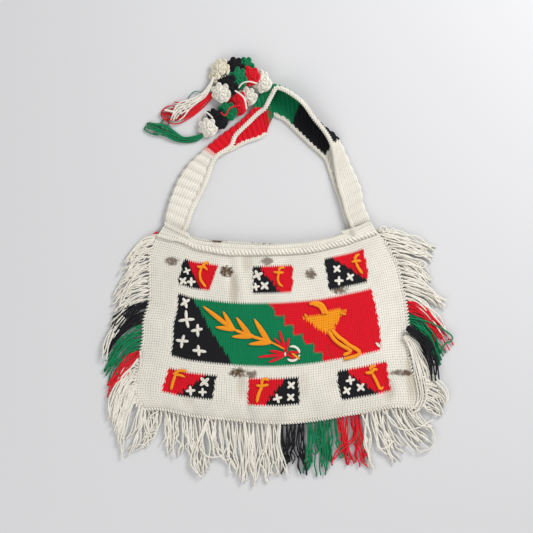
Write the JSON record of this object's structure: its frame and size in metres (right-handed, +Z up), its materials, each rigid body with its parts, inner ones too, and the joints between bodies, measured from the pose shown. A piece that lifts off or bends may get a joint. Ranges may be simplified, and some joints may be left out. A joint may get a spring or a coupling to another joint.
{
  "type": "bilum string bag",
  "caption": "Looped-yarn shoulder bag lying flat: worked panels with flag blocks, fringed sides and bottom edge, folded shoulder strap with yarn flowers and tassels.",
  "frame": {"origin": "on the underside of the back panel, near the middle of the bag's body, at the level of the surface it lies on", "axes": "+X to the bag's right, +Y from the bottom edge to the strap, +Z up through the cloth"},
  "size_m": [0.4734, 0.5787, 0.0275],
  "materials": {
    "natural_white_yarn": "matte looped acrylic yarn",
    "black_yarn": "matte looped acrylic yarn",
    "green_yarn": "matte looped acrylic yarn",
    "red_yarn": "matte looped acrylic yarn"
  },
  "bodies": {
    "root": {"back_panel": "natural_white_yarn", "front_panel": "natural_white_yarn", "mouth_band_back": "natural_white_yarn", "mouth_band_front": "natural_white_yarn", "strap": "natural_white_yarn", "strap_edging_back": "natural_white_yarn", "strap_edging_front": "natural_white_yarn", "fringe_left_white_top": "natural_white_yarn", "fringe_left_black": "black_yarn", "fringe_left_green": "green_yarn", "fringe_left_red": "red_yarn", "fringe_left_white_low": "natural_white_yarn", "fringe_bottom_white_left": "natural_white_yarn", "fringe_bottom_black": "black_yarn", "fringe_bottom_green": "green_yarn", "fringe_bottom_red": "red_yarn", "fringe_bottom_white_right": "natural_white_yarn", "fringe_right_white_top": "natural_white_yarn", "fringe_right_red": "red_yarn", "fringe_right_green": "green_yarn", "fringe_right_black": "black_yarn", "fringe_right_white_low": "natural_white_yarn", "puff_a1_green": "green_yarn", "puff_a2_black": "black_yarn", "puff_a3_white": "natural_white_yarn", "puff_b1_white": "natural_white_yarn", "puff_b2_red": "red_yarn", "puff_b3_green": "green_yarn", "puff_b4_black": "black_yarn", "puff_b5_white": "natural_white_yarn", "puff_c1_white": "natural_white_yarn", "puff_c2_red": "red_yarn", "puff_c3_green": "green_yarn", "puff_c4_black": "black_yarn", "puff_c5_white": "natural_white_yarn", "tassel_white": "natural_white_yarn", "tassel_red": "red_yarn", "tassel_green": "green_yarn"}
  },
  "joints": []
}
